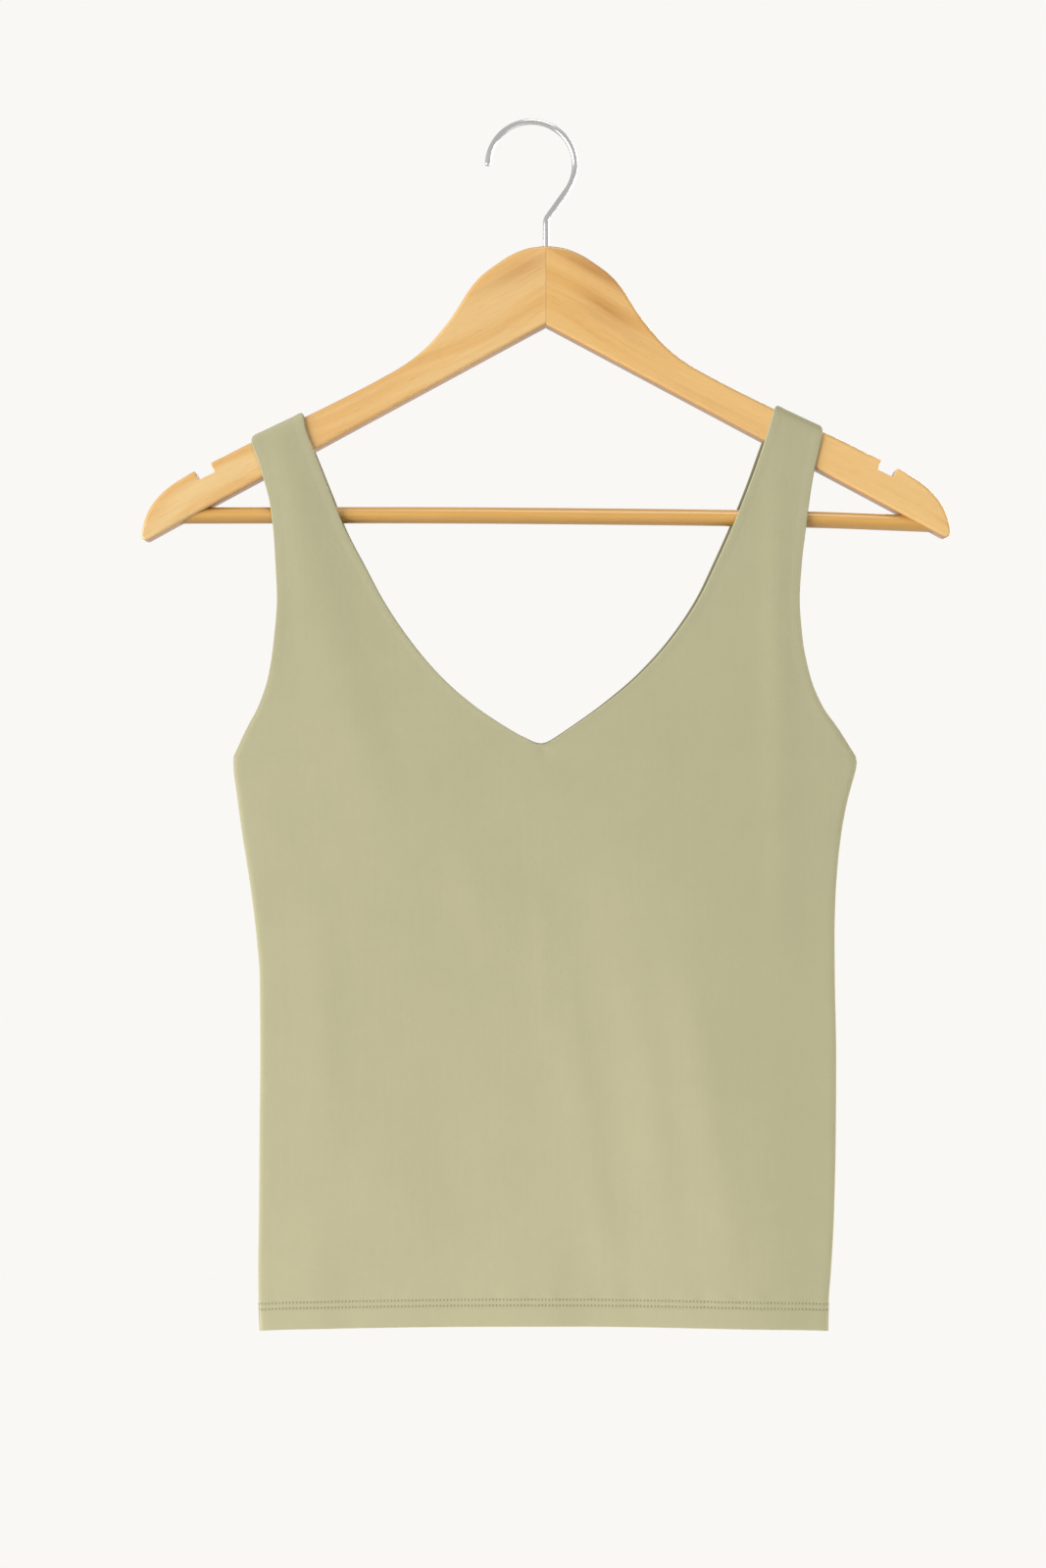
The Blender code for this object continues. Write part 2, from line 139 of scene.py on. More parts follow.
SIDE_DROPS, LEFT_REACHES, RIGHT_REACHES = zip(*SIDES)
HEM_MIDDLE_DROP = 594.4
BODY = SIDE_DROPS[-1] - SIDE_DROPS[0]
DEPTHS = [  # drop, then depth at the edge and in the middle
    (90, STRAP_DEPTH, STRAP_DEPTH), (150, 7.4, 7.5), (190, 7, 7.3), (220, 6.1, 6.8),
    (245, 4.4, 6.3), (265, 2.4, 5.9), (281, 1.27, 5.5), (350, 1.27, 4.6),
    (450, 1.27, 4.2), (540, 1.27, 4.1), (597, 1.27, 4),
]
SIDE_ROUNDING = 130.0
ROLL_WIDTH = 1.6  # the side seam's rolled edge, and its share of the rise
ROLL_SHARE = 0.08
SEAM_FLAT = 1.2  # the cloth lies flat this far from a side seam
FOLD_FADE, FOLD_FADE_SHARE = 16.0, 0.75  # a fold dies away over this, or this share of its half width
TWIST = 5.0  # how far the top's lower right hangs forward, front and back alike
TWIST_FROM, TWIST_TO = -70.0, 175.0
TWIST_TOP, TWIST_LOW = 290.0, 740.0
TWIST_LIFT = 0.22  # the hem rises by this share of it

# The soft folds: the part's own, and the finer ones between them. A bow bends the fold sideways at
# its middle, and a lean makes one flank longer than the other.
Fold = namedtuple("Fold", "top_across top_drop low_across low_drop half_width rise bow lean")
FRONT_FOLDS = [
    (62, 290, 136, 730, 48, 2.3, 2, -0.1), (6, 360, 40, 600, 10, 0.4, -2, -0.2),
    (38, 340, 72, 600, 11, 0.42, 2, -0.2), (70, 360, 106, 600, 11, 0.4, 2, -0.2),
    (-4, 340, 2, 450, 6, 0.22, 0, 0.0), (0, 520, 8, 640, 14, 0.4, 0, -0.2),
    (-166, 45, -84, 337, 16, 1.0, 0, -0.1), (126, 60, 130, 440, 9, 0.62, 0, 0.1),
    (-126, 350, -124, 520, 14, 0.5, 2, -0.2), (-130, 520, -128, 680, 14, 0.45, 2, -0.2),
    (-18, 540, -10, 680, 26, 0.6, -3, 0.0), (0, 286, 84, 300, 9, -0.35, -2, 0.0),
    (-148, 300, -118, 352, 9, -0.15, 2, 0.1), (150, 300, 112, 340, 8, -0.25, -2, 0.1),
    (-60, 300, -20, 420, 13, 0.25, 4, 0.2), (-5, 276, 6, 281, 1.5, -0.6, 0, 0.0),
    (-60, 420, -44, 600, 20, -0.3, 2, 0.0),
]
BACK_FOLDS = [
    (-58, 320, -122, 590, 22, 2.2, -5, 0.1), (-122, 400, -140, 560, 10, -0.6, 0, 0.0),
    (24, 372, 8, 520, 12, 0.6, 2, 0.2), (98, 300, 112, 470, 18, 1.2, 3, -0.1),
    (66, 330, 78, 480, 12, -0.5, 2, 0.0), (-130, 180, -130, 400, 12, 0.7, -2, 0.0),
    (118, 130, 112, 320, 12, 0.6, 2, 0.1), (84, 450, 92, 650, 24, 0.8, 3, 0.0),
    (12, 500, 20, 640, 22, -0.7, -2, 0.2), (-104, 540, -112, 650, 14, -0.4, -2, 0.0),
    (-6, 288, 70, 318, 10, -0.4, 3, 0.0), (-150, 300, -108, 346, 6, -0.35, 2, 0.1),
    (148, 300, 118, 352, 7, -0.35, -2, 0.0),
]

# How the cloth is sewn.
HEM_ROWS = (11.9, 15.0)  # heights of the twin needle's two rows above the edge
STITCH = 1.93
STITCH_RADIUS = 0.17
STITCH_END = 0.16  # from the needle hole
STITCH_SUNK = 0.2
FIRST_STITCH = 2.6  # from the side seam
GROOVE_WIDTH = 0.55
HEM_DRAW, HEM_RIDGE, HEM_PUFF, HEM_PUCKER = 0.2, 0.1, 0.22, 0.1
RIDGE_WIDTH, PUFF_FADE, PUFF_RISE = 0.9, 1.2, 3.0
PUCKER_ABOVE, PUCKER_WIDTH, PUCKER_REACH = 2.6, 2.2, 6.0
HEM_RAW_EDGE = 1.5  # the turned-up edge ends this far above the upper row
ALLOWANCE = 5.5  # the seam allowance turned in along the neckline and armholes
NECK_RISE = {-1: 0.2, 1: 0.9}  # how far the back's neckline shows past the front's
POINT_RISE = 0.6  # the same at the v's point, and the level from which it comes in
POINT_LEVEL = {-1: 0.93, 1: 0.6}
INSIDE_PAINTED_SHADE = 0.4  # how much darker the inside surfaces are painted, as painted shade
POINT_LIFT = 1.5  # how far the v's point is rounded off
POINT_WIDTH = 5.5
CORNER_SAG = 0.5  # the hem's corners hang a little
SAG_WIDTH = 26.0
BAND_RISE = 0.16  # how far the turned-in allowance stands out
BAND_FADE = 2.5
RIPPLE_RISE = 0.06
PANELS_APART = 0.04  # along the shoulder seam

# Columns across half a panel and rows down it.
EDGE_COLUMNS = (0.0, 0.07, 0.2, 0.38, 0.62, 1.0, 1.7, 3.0, 5.0)
MIDDLE_COLUMNS = 50
SEAM_ROWS = (0.0, 0.08, 0.2, 0.38, 0.7, 1.3)
TURN_STEPS = 10
CLOSEST_ROW = 0.2
STRAP_ROWS = 58
BODY_ROWS = 84
NECK_POINT_ROWS = (0.12, 0.3, 0.6, 1.1, 1.9)
POINT_ZONE = 3.2  # how far these finer rows reach from the point's level
FAR = 9.0  # a distance that is well away from the shoulder seam
STRAP_ON_MAP = 180.0  # length of a strap on the map of the cloth
HEM_ZONE_ROWS = (
    20, 18.7, 17.6, 16.8, 16.2, 15.8, 15.5, 15.25, 15, 14.75, 14.5, 14.2, 13.8, 13.45,
    13.1, 12.7, 12.4, 12.15, 11.9, 11.65, 11.4, 11.1, 10.6, 9.6, 8, 6.2, 4.6, 3.2, 2.2, 1.5,
    1, 0.65, 0.38, 0.18, 0.06, 0,
)


def place(across, depth, drop):
    """A place in the part's frame, in metres."""
    return Vector((across - HOOK_ACROSS, depth, -drop - BEARING_RISE)) * MM


def places(across, depth, drop):
    """The same for arrays, with a last axis of three."""
    return np.stack([across - HOOK_ACROSS, depth, -drop - BEARING_RISE], axis=-1) * MM


def smooth(stations, values, at):
    """A cubic curve through the values that never swings past them."""
    stations = np.asarray(stations, float)
    values = np.asarray(values, float)
    steps = np.diff(values) / np.diff(stations)
    before, after = steps[:-1], steps[1:]
    turning = before * after <= 0
    slopes = np.empty_like(values)
    slopes[1:-1] = np.where(turning, 0.0, 2 * before * after / np.where(turning, 1.0, before + after))
    slopes[0], slopes[-1] = steps[0], steps[-1]
    at = np.clip(at, stations[0], stations[-1])
    low = np.clip(np.searchsorted(stations, at, side="right") - 1, 0, len(stations) - 2)
    width = stations[low + 1] - stations[low]
    t = (at - stations[low]) / width
    start = (2 * t**3 - 3 * t**2 + 1) * values[low]
    end = (3 * t**2 - 2 * t**3) * values[low + 1]
    leaving = (t**3 - 2 * t**2 + t) * width * slopes[low]
    arriving = (t**3 - t**2) * width * slopes[low + 1]
    return start + end + leaving + arriving


def ease(value):
    """Zero to one, softly, as the value goes from zero to one."""
    t = np.clip(value, 0.0, 1.0)
    return t * t * (3 - 2 * t)


def hump(away, width):
    """One at the middle, dying away over this width."""
    return np.exp(-((away / width) ** 2))


# Materials.


class Value:
    """A socket in a shader tree, so that shader maths reads as an expression."""

    def __init__(self, tree, socket):
        self.tree = tree
        self.socket = socket

    def math(self, operation, *others):
        sockets = dict(enumerate((self, *others)))
        return self.tree.node("ShaderNodeMath", {"operation": operation}, sockets)

    def swapped(self, operation, other):
        return self.tree.node("ShaderNodeMath", {"operation": operation}, {0: other, 1: self})

    __add__ = __radd__ = partialmethod(math, "ADD")
    __sub__ = partialmethod(math, "SUBTRACT")
    __rsub__ = partialmethod(swapped, "SUBTRACT")
    __mul__ = __rmul__ = partialmethod(math, "MULTIPLY")
    __truediv__ = partialmethod(math, "DIVIDE")
    __rtruediv__ = partialmethod(swapped, "DIVIDE")
    __pow__ = partialmethod(math, "POWER")


class Tree:
    """The shader tree of a material or of the room."""

    def __init__(self, nodes):
        self.tree = nodes

    def node(self, kind, settings, sockets, output=0):
        """One node: its settings first, then the values or links of its sockets."""
        made = self.tree.nodes.new(kind)
        for key, value in settings.items():
            if key == "stops":
                ramp = made.color_ramp.elements
                while len(ramp) < len(value):
                    ramp.new(1.0)
                for stop, (position, colour) in zip(ramp, value):
                    stop.position = position
                    stop.color = (*colour, 1.0)
            else:
                setattr(made, key, value)
        for key, value in sockets.items():
            if isinstance(value, Value):
                self.tree.links.new(value.socket, made.inputs[key])
            elif made.inputs[key].type == "RGBA":
                made.inputs[key].default_value = (*value, 1.0)
            else:
                made.inputs[key].default_value = value
        return Value(self, made.outputs[output])


class Finish(Tree):
    """A material whose Principled shader takes constants at once and expressions later."""

    def __init__(self, name, **constants):
        self.material = bpy.data.materials.new(name)
        self.material.use_nodes = True
        super().__init__(self.material.node_tree)
        self.shader = self.tree.nodes["Principled BSDF"]
        for socket, value in constants.items():
            self.shader.inputs[socket.replace("_", " ")].default_value = value

    def feed(self, socket, value):
        self.tree.links.new(value.socket, self.shader.inputs[socket])

    def mix(self, factor, first, second):
        sockets = {0: factor, 6: first, 7: second}
        return self.node("ShaderNodeMix", {"data_type": "RGBA"}, sockets, output=2)

    def toned(self, colour, tone):
        """A colour made lighter or deeper."""
        sockets = {0: colour, "Scale": tone}
        return self.node("ShaderNodeVectorMath", {"operation": "SCALE"}, sockets)

    def noise(self, at, scale=1.0, detail=2.0, roughness=0.5):
        """Soft noise at a vector or at three numbers."""
        vector = self.joined(*at) if isinstance(at, tuple) else at
        sockets = {"Vector": vector, "Scale": scale, "Detail": detail, "Roughness": roughness}
        return self.node("ShaderNodeTexNoise", {}, sockets)

    def where(self):
        """The place on the piece."""
        return self.node("ShaderNodeTexCoord", {}, {}, output=3)

    def normal(self):
        """The three numbers of the way that the surface faces."""
        return self.parts(self.node("ShaderNodeNewGeometry", {}, {}, output=1))

    def parts(self, vector):
        """The three numbers of a vector."""
        made = self.node("ShaderNodeSeparateXYZ", {}, {0: vector})
        return [Value(self, socket) for socket in made.socket.node.outputs]

    def joined(self, x, y, z):
        return self.node("ShaderNodeCombineXYZ", {}, {0: x, 1: y, 2: z})

    def made(self, colour, height, distance, strength):
        """The material, with its colour and its fine relief in place."""
        self.feed("Base Color", colour)
        sockets = {"Strength": strength, "Distance": distance, "Height": height}
        self.feed("Normal", self.node("ShaderNodeBump", {}, sockets))
        return self.material


def srgb(*colour):
    """A linear colour from one measured on a screen."""
    return tuple(((c / 255 + 0.055) / 1.055) ** 2.4 for c in colour)


def shade(colour, factor):
    return tuple(c * factor for c in colour)


WALE = 0.95  # width of a knit column
COURSE = 0.72  # height of a knit row


def jersey(name, colour):
    """A smooth matte single knit, with the needle holes of the hem's two rows."""
    finish = Finish(name, Roughness=0.92, Sheen_Weight=0.18, Sheen_Roughness=0.45)
    cloth = finish.node("ShaderNodeUVMap", {"uv_map": "cloth"}, {})
    u, v, _ = finish.parts(cloth)
    across = u / MM
    height = v / MM
    column = (across / WALE).math("FRACT") - 0.5
    leg = column.math("ABSOLUTE")
    wale = (leg * (2 * math.pi)).math("COSINE")
    chevron = ((height / COURSE + leg * 1.1) * (2 * math.pi)).math("SINE")
    knit = wale * 0.45 + chevron * 0.55
    cloud = finish.noise((u, v, 0.0), 24.0, 3.0, 0.55)
    streak = finish.noise((u * 9.0, v * 0.8, 0.0), 40.0, 2.0, 0.5)
    slub = finish.noise((u, v * 3.0, 0.0), 420.0, 2.0, 0.6)
    along = (across / STITCH + 0.5).math("FRACT") - 0.5
    hole = 0.0
    for row in HEM_ROWS:
        aside = height - row
        far = (along * STITCH) ** 2.0 + aside * aside
        hole = (far * -5.0).math("EXPONENT") + hole
    tone = 1.0 + (cloud - 0.5) * 0.05 + (streak - 0.5) * 0.035 + (slub - 0.5) * 0.05 + knit * 0.012
    tone = tone - hole * 0.6 - height * 0.000165  # painted shade: the cloth is painted darker towards the straps
    # Painted shade: the inside surfaces are painted darker, as shade in the hollow between the panels;
    # this also draws the dark line along the neckline where the back shows past the front.
    inside = finish.node("ShaderNodeAttribute", {"attribute_name": "inside"}, {}, output=2)
    tone = tone - inside * INSIDE_PAINTED_SHADE
    warm = finish.mix(cloud, shade(colour, 0.985), shade(colour, 1.015))
    relief = knit * 0.5 + (slub - 0.5) * 0.7 - hole * 2.2
    return finish.made(finish.toned(warm, tone), relief, 0.00007, 0.55)


WARM_LENGTH = 0.21  # from the joint, how far the wood's warmer colour goes, in metres


def wood(name, pale, mid, dark, turn, patches):
    """Varnished wood, warmer at the joint, its bands and fibres along the board, with dark streaks."""
    finish = Finish(name, Coat_Weight=0.55, Coat_Roughness=0.16, Specular_IOR_Level=0.45)
    where = finish.where()
    turned = {"Vector": where, "Rotation": (0.0, turn, 0.0)}
    x, y, z = finish.parts(finish.node("ShaderNodeMapping", {"vector_type": "POINT"}, turned))
    sway = finish.noise((x * 5.0, y * 12.0, z * 12.0)) - 0.5
    bands = x * 3.0, y * 30.0 + sway * 1.5, z * 95.0 + sway * 4.0
    ring = finish.noise(bands, detail=3.0, roughness=0.55)
    fibre = finish.noise((x * 35.0, y * 900.0, z * 1100.0), detail=3.0, roughness=0.65)
    pore = finish.noise((x * 160.0, y * 2600.0, z * 2600.0), detail=1.0)
    cloud = finish.noise((x * 9.0, y * 20.0, z * 22.0))
    stops = [(0.30, shade(pale, 1.03)), (0.50, pale), (0.64, mid), (0.78, shade(mid, 0.9))]
    base = finish.node("ShaderNodeValToRGB", {"stops": stops}, {"Fac": ring})
    streaks = 0.0
    across_board, _, up_board = finish.parts(where)
    from_joint = (across_board - place(0, 0, 0).x).math("ABSOLUTE") / WARM_LENGTH
    warmth = (1.0 - from_joint + (cloud - 0.5) * 0.9).math("MAXIMUM", 0.0).math("MINIMUM", 1.0)
    gold = finish.mix(warmth * 0.5, base, mid)
    for patch in patches:
        centre = place(patch.across, 0, patch.drop)
        run = math.radians(patch.angle)
        dx = across_board - centre.x
        dz = up_board - centre.z
        along = (dx * math.cos(run) + dz * math.sin(run)) / (patch.length * MM)
        aside = (dz * math.cos(run) - dx * math.sin(run)) / (patch.width * MM)
        streaks = ((along * along + aside * aside) * -1.0).math("EXPONENT") * patch.depth + streaks
    broken = (ring * 1.9 - 0.45).math("MAXIMUM", 0.0)
    streaked = finish.mix((streaks * broken).math("MINIMUM", 1.0), gold, dark)
    tone = 1.0 + (fibre - 0.5) * 0.16 - (pore - 0.62).math("MAXIMUM", 0.0) * 0.9
    # Painted shade: the board's edges are mixed towards a deeper brown, and those that face down most
    # of all.
    _, facing, up = finish.normal()
    edge = (1.0 - facing.math("ABSOLUTE")) ** 0.8
    edge = edge * ((up * -0.5).math("MAXIMUM", 0.0) + 0.4)
    finish.feed("Roughness", 0.36 + (fibre - 0.5) * 0.2)
    colour = finish.mix(edge, finish.toned(streaked, tone), shade(dark, 0.6))
    return finish.made(colour, fibre * 0.6 + ring * 0.4, 0.00005, 0.35)


def bar_wood(name, pale, mid):
    """The dowel's straight grain."""
    finish = Finish(name, Coat_Weight=0.5, Coat_Roughness=0.2)
    where = finish.where()
    x, y, z = finish.parts(where)
    ring = finish.noise((x * 6.0, y * 260.0, z * 260.0), detail=3.0, roughness=0.6)
    fibre = finish.noise((x * 40.0, y * 1500.0, z * 1500.0), roughness=0.6)
    cloud = finish.noise((x * 14.0, y * 10.0, z * 10.0))
    grained = finish.mix((ring * 1.6 - 0.3).math("MINIMUM", 1.0), pale, mid)
    tone = 1.0 + (fibre - 0.5) * 0.18 + (cloud - 0.5) * 0.14
    _, _, up = finish.normal()
    # Painted shade: the dowel's underside is mixed towards a deep brown.
    below = (up * -0.9).math("MAXIMUM", 0.0)
    finish.feed("Roughness", 0.38 + (fibre - 0.5) * 0.2)
    colour = finish.mix(below, finish.toned(grained, tone), shade(mid, 0.5))
    return finish.made(colour, fibre, 0.00005, 0.3)


def plated_steel(name):
    """Bright plated wire with faint drawing marks."""
    finish = Finish(name, Metallic=1.0)
    where = finish.where()
    marks = finish.noise(where, 900.0, 2.0, 0.6)
    cloud = finish.noise(where, 60.0, 2.0, 0.5)
    finish.feed("Roughness", 0.12 + marks * 0.12)
    colour = finish.mix(cloud, srgb(226, 227, 228), srgb(190, 190, 190))
    return finish.made(colour, marks, 0.00002, 0.2)


# The cloth.


def strap_table(side):
    """The strap's sections from its top to the armpit, as an array of a row each."""
    outer, inner = SHOULDERS[side]
    lift = SHOULDER_LIFT[side]
    top = outer, arm_top(side * outer) - lift, inner, arm_top(side * inner) - lift
    return np.array([top, *STRAPS[side]])


def section_ends(side, level):
    """Reach and drop of each row's outer and inner end, from 0 at the shoulder to 2 at the hem."""
    table = strap_table(side)
    mean = (table[:, 1] + table[:, 3]) / 2
    at = mean[0] + level * (mean[-1] - mean[0])
    strap = [smooth(mean, column, at) for column in table.T]
    share = np.maximum(level - 1, 0.0)
    outer_drop = SIDE_DROPS[0] + share * BODY
    body = [
        smooth(SIDE_DROPS, LEFT_REACHES if side < 0 else RIGHT_REACHES, outer_drop),
        outer_drop,
        np.full_like(level, table[-1, 2]),
        table[-1, 3] + share * (HEM_MIDDLE_DROP - table[-1, 3]),
    ]
    return [np.where(level < 1, s, b) for s, b in zip(strap, body)]


def fold_height(folds, across, drop, inward):
    """How far the folds stand out here; each dies away towards a sewn edge."""
    total = np.zeros_like(across)
    for fold in map(Fold._make, folds):
        run_across = fold.low_across - fold.top_across
        run_drop = fold.low_drop - fold.top_drop
        length = math.hypot(run_across, run_drop)
        from_across = across - fold.top_across
        from_drop = drop - fold.top_drop
        along = np.clip((from_across * run_across + from_drop * run_drop) / length**2, 0.0, 1.0)
        ends = np.sin(math.pi * along)
        aside = (from_across * run_drop - from_drop * run_across) / length - fold.bow * ends
        width = fold.half_width * (1 + fold.lean * np.tanh(aside / fold.half_width))
        reached = np.minimum(inward / max(FOLD_FADE, FOLD_FADE_SHARE * fold.half_width), 1.0)
        fade = np.sin(math.pi / 2 * reached)
        total += fold.rise * ends * fade * hump(aside, width)
    return total


def cloth_depth(folds, across, drop, from_edge):
    """How far the outside of a panel stands from the top's middle plane."""
    drops, edges, middles = zip(*DEPTHS)
    edge, middle = smooth(drops, edges, drop), smooth(drops, middles, drop)
    inward = np.maximum(from_edge - SEAM_FLAT, 0.0)
    belly = 1 - (1 - np.minimum(inward / SIDE_ROUNDING, 1.0)) ** 2
    belly = ROLL_SHARE * rounded(inward, ROLL_WIDTH) + (1 - ROLL_SHARE) * belly
    return edge + (middle - edge) * belly + fold_height(folds, across, drop, inward)


def twist(across, drop):
    """How far the whole top hangs forward here."""
    along = np.clip((drop - TWIST_TOP) / (TWIST_LOW - TWIST_TOP), 0.0, 1.0)
    return TWIST * ease((across - TWIST_FROM) / (TWIST_TO - TWIST_FROM)) * np.sin(math.pi * along)


def ripple(across, drop, seed):
    """The faint unevenness of cloth that has been worn and pressed."""
    total = np.zeros_like(across)
    for number in range(7):
        turn = seed + number * 2.4
        pace = 2 * math.pi / (26 + 13 * number)
        along = across * math.cos(turn) + 0.6 * drop * math.sin(turn)
        total += np.sin(pace * along + turn * 3.1) / (7 - 0.5 * number)
    return total


Row = namedtuple("Row", "level depth inset wall from_seam")


def panel_rows(side, facing):
    """Rows of a panel from the shoulder seam, over the board's edge and down to the hem.

    Their level is 0 at the shoulder, 1 at the armpit and 2 at the hem.
    """
    table = strap_table(side)
    length = (table[-1, 1] + table[-1, 3] - table[0, 1] - table[0, 3]) / 2
    shoulder = SHOULDER_WALL[side]
    flat = STRAP_DEPTH - TURN_RADIUS
    seam = -SEAM_BEHIND if facing < 0 else SEAM_BEHIND + PANELS_APART
    rows = [Row(0.0, seam + away, CORNER_ROUNDING, shoulder, away) for away in SEAM_ROWS]
    for turn in np.linspace(0.0, math.pi / 2, TURN_STEPS + 1):
        level = TURN_RADIUS * (1 - math.cos(turn)) / length
        depth = flat + TURN_RADIUS * math.sin(turn)
        inset = CORNER_ROUNDING * (1 - math.sin(turn))
        wall = shoulder + (WALL - shoulder) * turn / (math.pi / 2)
        if depth > rows[-1].depth + CLOSEST_ROW:
            rows.append(Row(level, depth, inset, wall, FAR))
    levels = list(np.linspace(rows[-1].level, 1.0 - POINT_ZONE / length, STRAP_ROWS + 1)[1:])
    levels += [1.0 - away / length for away in reversed(NECK_POINT_ROWS)]
    levels += [1.0]
    levels += [1.0 + away / BODY for away in NECK_POINT_ROWS]
    hem_top = 2.0 - HEM_ZONE_ROWS[0] / BODY
    levels += list(np.linspace(1.0 + POINT_ZONE / BODY, hem_top, BODY_ROWS + 1)[:-1])
    levels += [2.0 - height / BODY for height in HEM_ZONE_ROWS]
    for level in levels:
        height = (2.0 - level) * BODY
        turned_up = float(ease((HEM_ROWS[1] - height) / HEM_RAW_EDGE + 1))
        wall = WALL + (HEM_WALL - WALL) * turned_up
        rows.append(Row(level, np.nan, 0.0, wall, FAR))
    return [np.array(column)[:, None] for column in zip(*rows)]


def columns_of(width):
    """Distances from the outer end of a row of this width, fine at both ends."""
    first = np.array(EDGE_COLUMNS)
    if width < 3 * first[-1]:
        first = first * width / (3 * first[-1])
    middle = np.linspace(first[-1], width - first[-1], MIDDLE_COLUMNS + 1)[1:-1]
    return np.concatenate([first, middle, width - first[::-1]])


Half = namedtuple("Half", "level across depth drop from_outer from_inner wall from_seam")


def half_panel(side, facing, folds):
    """The outside of half a panel as a grid: across, depth, drop, and what the wall needs."""
    level, depth, inset, wall, from_seam = panel_rows(side, facing)
    outer, outer_drop, inner, inner_drop = section_ends(side, level)
    from_point = np.where(level < 1, inner - strap_table(side)[-1, 2], (level - 1) * BODY / 3)
    inner_drop = inner_drop - POINT_LIFT * np.clip(1 - from_point / POINT_WIDTH, 0.0, 1.0) ** 2
    if facing > 0:
        shown = NECK_RISE[side]
        near = ease((level - POINT_LEVEL[side]) / (1 - POINT_LEVEL[side]))
        inner = inner - shown * ease(level / 0.15) * ease((1.0 - level) / 0.25)
        rise = shown * 0.6 * ease(level / 0.6) * (1 - near) + POINT_RISE * near
        inner_drop = inner_drop - rise * ease((1.2 - level) / 0.2)
    width = outer - inner
    apart = np.array([columns_of(row) for row in width[:, 0]])
    trimmed = inset / width
    share = trimmed + (1 - 2 * trimmed) * (apart / width)
    across = side * (outer - width * share)
    into_body = ease((level - 0.5) / 0.5)
    rise = share + into_body * (np.sin(share * math.pi / 2) - share)
    drop = outer_drop + (inner_drop - outer_drop) * rise
    sag = ease((level - 1.6) / 0.4) * np.clip(1 - apart / SAG_WIDTH, 0.0, 1.0) ** 2
    drop = drop + CORNER_SAG * sag
    drop = drop - TWIST_LIFT * twist(across, drop)
    stands = cloth_depth(folds, across, drop, apart)
    stands = np.where(np.isnan(depth), stands, depth)
    wall = np.broadcast_to(wall, apart.shape)
    return Half(level, across, stands, drop, apart, width - apart, wall, from_seam)


def rounded(distance, radius):
    """Zero at the edge and one a radius in, as a quarter circle."""
    return np.sqrt(1 - (1 - np.clip(distance / radius, 0.0, 1.0)) ** 2)


def grid_normals(spots, facing):
    """Unit normals of a grid of places, on the side that faces out."""
    down = np.gradient(spots, axis=0, edge_order=2)
    along = np.gradient(spots, axis=1, edge_order=2)
    normals = np.cross(along, down)
    normals /= np.linalg.norm(normals, axis=-1, keepdims=True)
    middle = normals[len(normals) // 2, :, 1].mean()
    return normals * np.sign(middle * facing)


def hem_relief(height, across):
    """How far the twin needle's rows draw the hem in, and how far it puffs between and below."""
    lower, upper = HEM_ROWS
    middle = (lower + upper) / 2
    drawn = sum(hump(height - row, GROOVE_WIDTH) for row in HEM_ROWS)
    between = hump(height - middle, RIDGE_WIDTH)
    below = ease((lower - height) / PUFF_FADE) * ease(height / PUFF_RISE)
    above = hump(height - upper - PUCKER_ABOVE, PUCKER_WIDTH)
    near = hump(height - middle, PUCKER_REACH)
    pucker = np.sin(across / 1.9) * np.sin(across / 5.3 + 1) + 0.6 * np.sin(across / 3.1 + 2)
    puckered = HEM_PUCKER * (above + near / 2) * pucker
    return HEM_RIDGE * between + HEM_PUFF * below + puckered - HEM_DRAW * drawn


Shell = namedtuple("Shell", "outside inside cloth joined centre")


def panel_shell(side, facing, folds, centre=None):
    """The outer and inner places of half a panel, its map of the cloth and its middle's normals."""
    half = half_panel(side, facing, folds)
    level, across, drop, wall = half.level, half.across, half.drop, half.wall
    height = np.broadcast_to((2.0 - level) * BODY, across.shape)
    spots = places(across, facing * half.depth - twist(across, drop), drop)
    normals = grid_normals(spots, facing)
    in_body = level >= 1
    joined = in_body[:, 0]
    if centre is not None:
        shared = normals[joined, -1] + centre
        normals[joined, -1] = shared / np.linalg.norm(shared, axis=-1, keepdims=True)
    point_drop = strap_table(side)[-1, 3]
    from_point = np.hypot(half.from_inner, drop - point_drop)
    from_neck = np.where(in_body, from_point, half.from_inner)
    lip = wall / 2
    armhole = np.where(in_body, 1.0, rounded(half.from_outer, lip))
    shoulder = rounded(half.from_seam, 0.5)
    fullness = rounded(from_neck, lip) * rounded(height, lip) * shoulder * armhole
    side_seam = np.where(in_body, rounded(half.from_outer, WALL), 1.0)
    from_edge = np.minimum(half.from_inner, half.from_outer)
    band = np.where(in_body, 0.0, ease((ALLOWANCE - from_edge) / BAND_FADE))
    relief = BAND_RISE * band + RIPPLE_RISE * ripple(across, drop, 1.0 + facing)
    from_shoulder = np.where(in_body, FAR, half.from_seam)
    relief = relief * ease(half.from_outer / 6.0) * ease(from_shoulder)
    relief = relief + hem_relief(height, across) * ease(half.from_outer / 2.0)
    sunk = wall * ((1 - fullness) / 2 + (1 - side_seam) * fullness) - relief * fullness * side_seam
    behind = wall * (1 + fullness) / 2
    outside = spots - normals * sunk[..., None] * MM
    inside = spots - normals * behind[..., None] * MM
    up = np.where(in_body, height, BODY + (1 - level) * STRAP_ON_MAP)
    cloth = np.stack([across, up], axis=-1) * MM
    return Shell(outside, inside, cloth, joined, normals[joined, -1])


